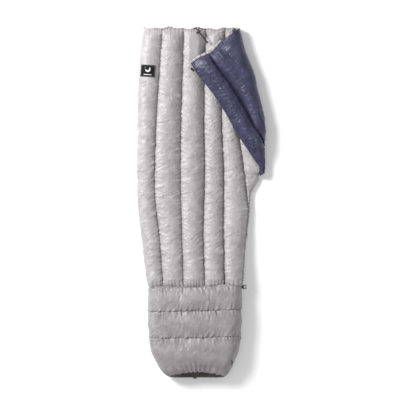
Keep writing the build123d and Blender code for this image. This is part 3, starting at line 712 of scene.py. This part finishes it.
def body_under(top):
    """Ground side of the tucked margin, its lining, and the lining under the long chambers."""
    y = top[:, 0, 1]
    hem = smooth((y - 1.88) / (LONG_HIGH - 1.88))

    def at(x, z):
        return np.stack([x, y, z], 1)

    edge = curve(y, TUCK_EDGE)
    s1 = curve(y, SEAM_X[1])
    tuck_z = 0.010 + 0.004 * hem
    columns = between(top[:, 0], at(edge, tuck_z * 0.4), 12, 0.0)
    columns += between(at(edge, tuck_z * 0.4), at(edge, tuck_z), 2)
    inner = at(s1 - 0.006, np.minimum(0.040, curve(y, SEAM_Z[1]) - 0.030) * (1 - 0.6 * hem))
    columns += between(at(edge, tuck_z), inner, 12, -0.010)
    lows = []
    for i in range(1, 6):
        sz = curve(y, SEAM_Z[i])
        low = np.maximum(sz - 0.026, 0.003)
        lows.append(at(curve(y, SEAM_X[i]), low + (sz - 0.003 - low) * hem))
    columns += between(inner, lows[0], 3)
    for a, b in zip(lows, lows[1:]):
        columns += between(a, b, 9, 0.010)
    columns += between(lows[-1], top[:, -1], 8, 0.006) + [top[:, -1]]
    grid = np.stack(columns, 1)
    flat = grid.reshape(-1, 3)
    wave = wrinkles(flat, 0.06, 0.004, 5).reshape(grid.shape[:2])
    wave[:, 0] = 0
    wave[:, -1] = 0
    grid[:, :, 2] = np.maximum(grid[:, :, 2] + wave * (1 - hem)[:, None], 0.0011)
    return grid


def fold_under(top):
    """Shell side of the folded part: from its free edge back to the fold line, then down inside."""
    edge, ground = top[:, 0], top[:, -1]
    crease = []
    for x, y, length in fold_rows():
        d = 0.0
        while d < length - 0.004 and x + ROW_WAY.x * d > fold_x(y + ROW_WAY.y * d):
            d += 0.002
        crease.append((x + ROW_WAY.x * d, y + ROW_WAY.y * d, FOLD_AT.z + 0.003))
    columns = between(edge, np.array(crease), 26)
    columns += between(np.array(crease), ground, 6) + [ground]
    grid = np.stack(columns, 1)
    sheet = grid[:, 1:26]
    level = lie(sheet[:, :, 0], sheet[:, :, 1]) + 0.003
    sheet[:, :, 2] = level + (sheet[:, :, 2] - level) * np.linspace(1, 0, 25)[None, :] ** 3
    return grid


# ---------------------------------------------------------------- trims
def ribbon(name, path, width, thick, material, wave=0.0, seed=0):
    """Folded tape that lies flat along a path."""
    path = np.asarray(path, float)
    way = unit(np.gradient(path, axis=0))
    across = unit(np.cross(way, (0, 0, 1.0)))
    normal = unit(np.cross(across, way))
    profile = []
    for k in range(12):
        a = 2 * pi * k / 12
        profile.append((np.sign(cos(a)) * abs(cos(a)) ** 0.6 * width / 2, sin(a) * thick / 2))
    far = run_of(path)
    ripple = wave * np.sin(far * 2 * pi / 0.031 + seed) + wave * 0.6 * np.sin(far * 2 * pi / 0.017 + seed * 2)
    verts = []
    for i, p in enumerate(path):
        for u, v in profile:
            verts.append(p + across[i] * u + normal[i] * (v + ripple[i]))
    return mesh_object(name, verts, bar_faces(len(path), 12), [material])


STITCH_LIFT = 0.0006


def stitches(name, paths, material, pitch, length, radius):
    """Rows of small raised thread stitches along each path."""
    verts, faces = [], []
    for path in paths:
        path = np.asarray(path, float)
        far = run_of(path)
        for d in np.arange(pitch, far[-1] - pitch, pitch):
            ends = along(path, far, d + np.array([-0.5, 0.0, 0.5]) * length)
            way = unit(ends[2] - ends[0])
            side = unit(np.cross(way, (0, 0, 1.0)))
            up = np.cross(side, way)
            base = len(verts)
            for p, r, h in ((ends[0], 0.4, 0), (ends[1], 1.0, 1), (ends[2], 0.4, 0)):
                centre = p + up * (STITCH_LIFT * (0.4 + 0.6 * h))
                for k in range(5):
                    a = 2 * pi * k / 5
                    verts.append(centre + side * cos(a) * radius * r + up * sin(a) * radius * r)
            faces += [tuple(base + i for i in face) for face in bar_faces(3, 5)]
    return mesh_object(name, verts, faces, [material])


def tube(points, radius, sides):
    """Verts and faces of a closed round bar along a path; radius may change along it."""
    path = np.asarray(points, float)
    radius = np.broadcast_to(radius, len(path))
    way = unit(np.gradient(path, axis=0))
    normal = np.cross(way[0], (0.0, 0.0, 1.0))
    if np.linalg.norm(normal) < 1e-3:
        normal = np.cross(way[0], (1.0, 0.0, 0.0))
    verts = []
    for p, w, r in zip(path, way, radius):
        normal = unit(normal - w * (normal @ w))
        other = np.cross(w, normal)
        for k in range(sides):
            a = 2 * pi * k / sides
            verts.append(p + (normal * cos(a) + other * sin(a)) * r)
    return verts, bar_faces(len(path), sides)


def tubes(name, runs, radius, material, sides):
    verts, faces = [], []
    for run in runs:
        v, f = tube(run, radius, sides)
        faces += [tuple(i + len(verts) for i in face) for face in f]
        verts += v
    return mesh_object(name, verts, faces, [material])


def path_through(points, count):
    """Smooth path of count points through the given ones."""
    p = np.asarray(points, float)
    far = run_of(p)
    at = np.linspace(0, far[-1], count)
    return np.stack([curve(at, list(zip(far, p[:, i]))) for i in range(3)], 1)


def tree_of(grid, wrap=False):
    return BVHTree.FromPolygons([Vector(v) for v in grid.reshape(-1, 3)], grid_faces(*grid.shape[:2], wrap))


def surface_height(tree, x, y):
    """Height of the cloth under the sky at (x, y)."""
    hit = tree.ray_cast(Vector((x, y, 1.0)), Vector((0, 0, -1)))[0]
    return hit.z if hit else 0.0


def draped(name, plan, tree, lift, thick, material, rows, cols, relax):
    """Closed thin patch lying on the cloth; plan(u, v) gives x and y."""
    u, v = np.linspace(0, 1, cols), np.linspace(0, 1, rows)
    xy = np.array([[plan(a, b) for a in u] for b in v])
    z = np.array([[surface_height(tree, *p) for p in row] for row in xy])
    for _ in range(relax):
        pad = np.pad(z, 1, mode="edge")
        around = (pad[:-2, 1:-1] + pad[2:, 1:-1] + pad[1:-1, :-2] + pad[1:-1, 2:]) / 4
        z = np.maximum(z * 0.4 + around * 0.6, z - 0.001)
    top = np.dstack([xy, z + lift + thick])
    low = np.dstack([xy, z + lift])
    verts = np.concatenate([top.reshape(-1, 3), low.reshape(-1, 3)])
    faces = grid_faces(rows, cols)
    under_faces = [tuple(i + rows * cols for i in reversed(f)) for f in faces]
    rim = [*range(cols), *[r * cols + cols - 1 for r in range(1, rows)],
           *[(rows - 1) * cols + c for c in range(cols - 2, -1, -1)],
           *[r * cols for r in range(rows - 2, 0, -1)]]
    sides = [(rim[k], rim[k - 1], rim[k - 1] + rows * cols, rim[k] + rows * cols) for k in range(len(rim))]
    return mesh_object(name, verts, faces + under_faces + sides, [material]), top


def on_quilt(piece, slot, *nodes):
    """Puts a piece on the quilt body, in the place of its CAD nodes, which it hides; slot is not used."""
    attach(piece, "quilt")
    if nodes:
        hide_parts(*nodes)


# ---------------------------------------------------------------- the upper side
top_grid, top_mask, top_seams = body_top()
settled = simulated("quilt", top_grid, top_mask, growth=0.005, cap=0.014)
fine_seams = [2 * c for c in top_seams]


def body_tilt(point):
    """Creases lean one way near the shoulders and lie square to the seams lower down."""
    x, y, _ = point
    shoulder = float(smooth((y - 1.25) / 0.35)) * (1 if x > -0.20 else 0.2)
    return -0.70 * shoulder + 0.16 * sin(y * 9 + x * 14)


folds = creases(settled, fine_seams, 3600, 31, length=0.050, width=0.0038, height=0.0024, tilt=body_tilt,
                spread=0.26)
folds += creases(settled, [24, 32, 40, 48, *(s + 12 for s in fine_seams), *(s + 20 for s in fine_seams[:-1])],
                 2600, 32, length=0.036, width=0.0034, height=0.0018, tilt=body_tilt, spread=0.45)
for c, depth in zip(fine_seams, SEAM_DEPTH):
    beside = np.linalg.norm(settled - settled[:, c:c + 1], axis=2)
    folds -= depth * np.exp(-(beside / 0.0060) ** 2)
knee_rows = np.clip(1 - np.arange(settled.shape[0]) / 14, 0, 1)[:, None]
folds += 0.0022 * knee_rows * np.sin(settled[:, :, 0] * 2 * pi / 0.019 + 2 * np.sin(settled[:, :, 0] * 40))
folds += 0.0014 * np.exp(-np.arange(settled.shape[0])[::-1] / 9)[:, None] * np.sin(
    settled[:, :, 0] * 2 * pi / 0.017 + 3 * np.sin(settled[:, :, 0] * 31))
settled = settled + normals(settled) * folds[:, :, None]
for r, dive in enumerate((1.0, 0.6, 0.3, 0.1)):
    settled[r] = settled[r] * (1 - 0.05 * dive, 1, 1 - 0.10 * dive) + (0, -0.015 * dive, 0)

# the folded side and the neck cord press the cloth down where they lie
flap_reach = settled[:, :, 0] - curve(settled[:, :, 1], FREE_EDGE)
pressed = (settled[:, :, 1] > 1.18) & (flap_reach > -0.012)
ceiling = lie(settled[:, :, 0], settled[:, :, 1]) - FLAP_CLEAR
settled[:, :, 2] = np.where(pressed, np.minimum(settled[:, :, 2], ceiling), settled[:, :, 2])
lock_low, lock_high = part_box("neck_lock_body")
tab_low, tab_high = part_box("neck_cord_tab")
cord_run = (tab_low + tab_high - lock_low - lock_high) / 2
cord_long = cord_run.length
cord_way = np.array(cord_run.normalized())
cord_from = np.array((lock_low + lock_high) / 2)
rel = settled[:, :, :2] - cord_from[:2]
along_cord = np.clip(rel @ cord_way[:2], -0.012, cord_long + 0.008)
aside = np.linalg.norm(rel - along_cord[:, :, None] * cord_way[:2], axis=2)
dent = cord_from[2] - 0.0085 + np.maximum(aside - 0.012, 0) * 0.9
settled[:, :, 2] = np.minimum(settled[:, :, 2], dent)
on_ground(settled)
quilt_top = cloth_object("quilt_shell", settled, [SHELL])
on_quilt(quilt_top, "shell_nylon", "shell_body", *(f"down_body_{i}" for i in range(1, 5)),
         *(f"baffle_wall_{i}" for i in range(1, 6)), "down_left_fold", "down_right_side")
cloth_tree = tree_of(settled)

under = doubled(doubled(body_under(settled[::2, ::2]), 0), 1)
rows, cols = under.shape[:2]
SHELL_COLUMNS = 28       # the ground side is shell cloth up to here, then lining
tint = [0 if (f % (cols - 1)) < SHELL_COLUMNS else 1 for f in range((rows - 1) * (cols - 1))]
quilt_under = cloth_object("quilt_lining", on_ground(under), [SHELL, LINING], indices=tint)
on_quilt(quilt_under, "lining_nylon", "lining_body", "down_tucked_left", "down_tucked_right",
         "binding_left", "binding_right")

# ---------------------------------------------------------------- the foot box
ring_grid, ring_mask = foot_grid()
ring = simulated("foot", ring_grid, ring_mask, wrap=True, growth=0.010, cap=0.012)
ring_rows = [2 * r for r in range(ring_grid.shape[0]) if ring_mask[r].all()][:4]
turned = np.swapaxes(ring, 0, 1)
puckers = creases(turned, ring_rows[1:], 2300, 41, length=0.046, width=0.0040, height=0.0030, spread=0.30)
puckers += creases(turned, [r + 22 for r in ring_rows[1:]], 700, 42, length=0.040, width=0.0040, height=0.0016,
                   spread=0.7)
ring = ring + normals(ring, True) * puckers.T[:, :, None] * smooth(
    (np.arange(ring.shape[0])[::-1] - 12) / 10)[:, None, None]
on_ground(ring)
# the mouth's last rows take the painted shade colour, the rest the foot box nylon
shade_row = ring.shape[0] - SHADED_MOUTH_ROWS
tint = [0 if f < shade_row * ring.shape[1] else 1 for f in range((ring.shape[0] - 1) * ring.shape[1])]
foot = cloth_object("foot_box_shell", ring, [SHELL_FOOT, MOUTH_PAINTED_SHADE], wrap=True, indices=tint)
on_quilt(foot, "shell_nylon", "foot_shell", "foot_lining", "foot_channel",
         *(f"down_foot_ring_{i}" for i in range(1, 4)), "foot_ring_wall_1", "foot_ring_wall_2")
foot_tree = tree_of(ring, True)

# ---------------------------------------------------------------- the folded side
flap_grid, flap_mask = fold_grid()
flap_sheet = simulated("flap", flap_grid, flap_mask, growth=0.008, cap=0.012)
flap_starts = [2 * c for c in (0, *FOLD_SEAMS)]
flap_folds = creases(flap_sheet, flap_starts[:2] + [18, 44, 56], 3000, 51, length=0.034, width=0.0034,
                     height=0.0014, spread=0.20)
flap_sheet = flap_sheet + normals(flap_sheet) * flap_folds[:, :, None]
over = lie(flap_sheet[:, :, 0], flap_sheet[:, :, 1]) + FLAP_CLEAR
onto = np.arange(flap_sheet.shape[1])[None, :] < 2 * FOLD_SEAMS[-1]
edge_column = np.arange(flap_sheet.shape[1])[None, :] > 0
flap_sheet[:, :, 2] = np.where(onto & edge_column, np.maximum(flap_sheet[:, :, 2], over), flap_sheet[:, :, 2])
on_ground(flap_sheet)
head_end = flap_sheet[-1].copy()
head_end[:, 2] = np.minimum(head_end[:, 2], np.maximum(lie(head_end[:, 0], head_end[:, 1]), FOLD_AT.z) + 0.004)
flap = cloth_object("open_side_lining", np.concatenate([flap_sheet, head_end[None]], 0), [LINING])
flap_under = cloth_object("open_side_shell", fold_under(flap_grid), [SHELL])


def on_flap(piece, slot, *nodes):
    """Keeps a piece where it lies on the folded side, its place baked into its mesh, in the place of its nodes, which
    it hides.
    """
    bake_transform(piece)
    if nodes:
        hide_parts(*nodes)


on_flap(flap, "lining_nylon", "flap_lining", "down_flap_outer", "down_flap_inner", "flap_wall")
on_flap(flap_under, "shell_nylon", "flap_shell")

# ---------------------------------------------------------------- hems and seams
free_hem = ribbon("open_side_binding", flap_sheet[:, 0] + (0, 0, 0.001), 0.0065, 0.0045, HEM_DARK, wave=0.0006)
on_flap(free_hem, "binding", "flap_binding_side")
head_edge = flap_sheet[-1, :58]
outward = np.array([ROW_WAY.y, -ROW_WAY.x, 0])
outward = -outward if outward[1] < 0 else outward
flap_hem = ribbon("open_side_hem", head_edge + outward * 0.0060, 0.014, 0.007, SHELL, wave=0.0016, seed=2)
on_flap(flap_hem, "shell_nylon", "flap_binding_hem")
flap_line = ribbon("open_side_hem_line", head_edge - outward * 0.0015, 0.004, 0.006, HEM_DARK, wave=0.0008)
on_flap(flap_line, "binding")

hem_path = settled[-1, 22:] + (0, -0.003, -0.002)
gather = 1 + 0.10 * np.sin(hem_path[:, 0] * 2 * pi / 0.019 + 3 * np.sin(hem_path[:, 0] * 29))
hem_path = hem_path + np.stack([0 * gather, 0.0015 * np.sin(hem_path[:, 0] * 330), 0 * gather], 1)
head_hem = tubes("head_hem_channel", [hem_path], 0.0056 * gather, SHELL, 12)
on_quilt(head_hem, "shell_nylon", "hem_channel")
hem_thread = stitches("hem_stitching", [settled[-5, 30:]], THREAD, 0.0090, 0.0045, 0.0005)
seam_lines = [settled[4:-4, c] for c in fine_seams]
seam_thread = stitches("long_seam_stitching", seam_lines, THREAD, 0.0060, 0.0045, 0.0006)
ring_lines = [np.concatenate([ring[r], ring[r][:1]]) for r in ring_rows[1:]]
ring_thread = stitches("ring_seam_stitching", ring_lines, THREAD_DARK, 0.0060, 0.0045, 0.0007)
for thread in (hem_thread, seam_thread, ring_thread):
    on_quilt(thread, "binding")
deep_seam = flap_sheet[8:-2, flap_starts[1]]
on_flap(stitches("lining_seam_stitching", [deep_seam], HEM_DARK, 0.0060, 0.0045, 0.0007), "binding")

# ---------------------------------------------------------------- drawcords
CORD_R = 0.0019
STRAND_ASIDE = 0.0021    # from the middle of the lock to the middle of one strand
side_way = np.array([-cord_way[1], cord_way[0], 0])


def neck_strand(side):
    """One strand of the neck cord: along inside the hem, out at its mouth, through the lock to the tab."""
    hem = hem_path[(hem_path[:, 0] - cord_from[0]) * side > 0.03][::-side]
    points = [hem[k * (len(hem) - 1) // 14] for k in range(15)]
    points.append(cord_from - cord_way * 0.014 + (side * 0.006, 0.004, 0.0))
    for t in (0.0, 0.12, 0.3, 0.55, 0.8, 1.0):
        points.append(cord_from + cord_way * cord_long * t - side_way * side * STRAND_ASIDE)
    return path_through(points, 160)


neck_cord = tubes("neck_cord", [neck_strand(-1), neck_strand(1)], CORD_R, BLACK_CORD, 8)
on_quilt(neck_cord, "cord", "neck_drawcord")


def on_foot(x, y, lift):
    return (x, y, surface_height(foot_tree, x, y) + lift)


pull = [on_foot(0.196, 0.104, -0.004), on_foot(0.204, 0.101, 0.003), on_foot(0.2085, 0.092, 0.003),
        on_foot(0.204, 0.083, 0.003), on_foot(0.194, 0.077, -0.004)]
foot_path = [(0.002, 0.062, 0.014), (0.002, 0.040, 0.013), (0.010, 0.012, 0.014)]
half_mouth = [tuple(p) for p in mouth(40, 0.008)]
foot_path += half_mouth[31:40] + half_mouth[:30] + [(-0.010, 0.012, 0.012), (-0.002, 0.040, 0.010),
                                                    (-0.002, 0.062, 0.010)]
foot_cord = tubes("foot_cord", [path_through(foot_path, 160), path_through(pull, 24)], CORD_R, BLACK_CORD, 8)
on_quilt(foot_cord, "cord", "foot_drawcord")

# ---------------------------------------------------------------- label
LABEL_MIDDLE = (-0.2625, 1.7150)
LABEL_HALF = (0.0400, 0.0335)
LABEL_TURN = radians(-4)


def on_label(x, y):
    """A point given on the label's own axes, on those of the bag."""
    c, d = cos(LABEL_TURN), sin(LABEL_TURN)
    return LABEL_MIDDLE[0] + x * c - y * d, LABEL_MIDDLE[1] + x * d + y * c


def label_plan(u, v):
    return on_label((2 * u - 1) * LABEL_HALF[0], (2 * v - 1) * LABEL_HALF[1])


def crescent(u, v):
    """A moon that leans back: an arc of a circle, and a flatter one between the same two tips."""
    def at(angle, radius):
        return np.array([cos(radians(angle)), sin(radians(angle))]) * radius

    lean, half, radius = -62, 124, 0.0150
    first, last = at(lean - half, radius), at(lean + half, radius)
    outer = at(lean + half * (2 * u - 1), radius)
    bulge = at(lean, radius / 3) - (first + last) / 2
    inner = first + (last - first) * u + bulge * sin(pi * u) ** 0.8
    x, y = outer + (inner - outer) * v
    return on_label(x, 0.008 + y)


def bar(u, v):
    return on_label((2 * u - 1) * 0.022, -0.021 + (2 * v - 1) * 0.0022)


label, label_top = draped("label", label_plan, cloth_tree, 0.0012, 0.0012, LABEL_CLOTH, 16, 18, 6)
label_tree = tree_of(label_top)
edge = [label_top[1, c] for c in range(1, 17)] + [label_top[r, 16] for r in range(2, 15)]
edge += [label_top[14, c] for c in range(15, 0, -1)] + [label_top[r, 1] for r in range(13, 0, -1)]
label_thread = stitches("label_sewing", [np.array(edge) + (0, 0, 0.0004)], THREAD, 0.0040, 0.0030, 0.0005)
on_quilt(label, "label_cloth", "label_patch")
on_quilt(label_thread, "label_print", "label_stitching")
for name, plan, rows, cols in (("label_print_crescent", crescent, 4, 26), ("label_print_bar", bar, 3, 14)):
    on_quilt(draped(name, plan, label_tree, 0.0002, 0.0004, LABEL_INK, rows, cols, 0)[0], "label_print", "label_mark")

# ---------------------------------------------------------------- side tab
ring_low, ring_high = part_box("side_ring")
tab_mid = (ring_low + ring_high) / 2
side_tab = ribbon("side_webbing", path_through([(ring_low.x - 0.012, tab_mid.y, tab_mid.z + 0.016),
                                                (ring_low.x - 0.001, tab_mid.y, tab_mid.z + 0.009),
                                                (ring_low.x + 0.005, tab_mid.y, tab_mid.z + 0.0005)], 14),
                  0.018, 0.0024, BLACK_WEB)
on_quilt(side_tab, "webbing")

KEPT_NODES = {
    BLACK_MOULD: ("neck_lock_body", "neck_lock_button", "neck_cord_tab", "foot_lock_body", "foot_lock_button",
                  "foot_cord_tab", "zip_teeth_left", "zip_teeth_right", "side_ring"),
    STEEL: ("neck_lock_spring", "foot_lock_spring"),
    BLACK_WEB: ("zip_tape_left", "zip_tape_right", "side_ring_tab", "hang_loop", "snap_tab_flap",
                "snap_tab_body"),
    DARK_METAL: ("zip_slider", "zip_pull", "zip_stops", "snap_stud", "snap_socket"),
}
for material, names in KEPT_NODES.items():
    for name in names:
        mesh = frame["nodes"][name].data
        mesh.materials.clear()
        mesh.materials.append(material)

# ---------------------------------------------------------------- stage, light and camera
floor = mesh_object("floor", [(-30, -30, 0), (30, -30, 0), (30, 30, 0), (-30, 30, 0)], [(0, 1, 2, 3)], [])
paint = Nodes("pale floor", (0.90, 0.90, 0.905), 0.7)
paint.bump((paint.noise(30, 4), 0.05, 0.002))
floor.data.materials.append(paint.material)


def area_light(name, place, target, size, power):
    light = bpy.data.lights.new(name, "AREA")
    light.shape = "DISK"
    light.size = size
    light.energy = power
    obj = bpy.data.objects.new(name, light)
    bpy.context.scene.collection.objects.link(obj)
    obj.location = place
    obj.rotation_euler = (Vector(target) - Vector(place)).to_track_quat("-Z", "Y").to_euler()
    return obj


CENTRE = Vector((0.028, 0.9955, 0.0))
area_light("key light", CENTRE + Vector((-3.4, 2.2, 3.3)), CENTRE, 2.3, 440)
area_light("fill light", CENTRE + Vector((2.5, -2.5, 4.5)), CENTRE, 4.0, 60)
world = bpy.data.worlds.new("soft studio")
world.use_nodes = True
world.node_tree.nodes["Background"].inputs["Color"].default_value = (1.0, 1.0, 1.0, 1)
world.node_tree.nodes["Background"].inputs["Strength"].default_value = 0.55
bpy.context.scene.world = world
bpy.context.scene.view_settings.view_transform = "Standard"

camera = bpy.data.cameras.new("camera")
VIEW_WIDTH, DISTANCE = 2.237, 12.0
camera.sensor_width = 36
camera.lens = camera.sensor_width * DISTANCE / VIEW_WIDTH
camera.clip_end = 100
camera_object = bpy.data.objects.new("camera", camera)
bpy.context.scene.collection.objects.link(camera_object)
camera_object.location = CENTRE + Vector((0, 0, DISTANCE + 0.05))
bpy.context.scene.camera = camera_object
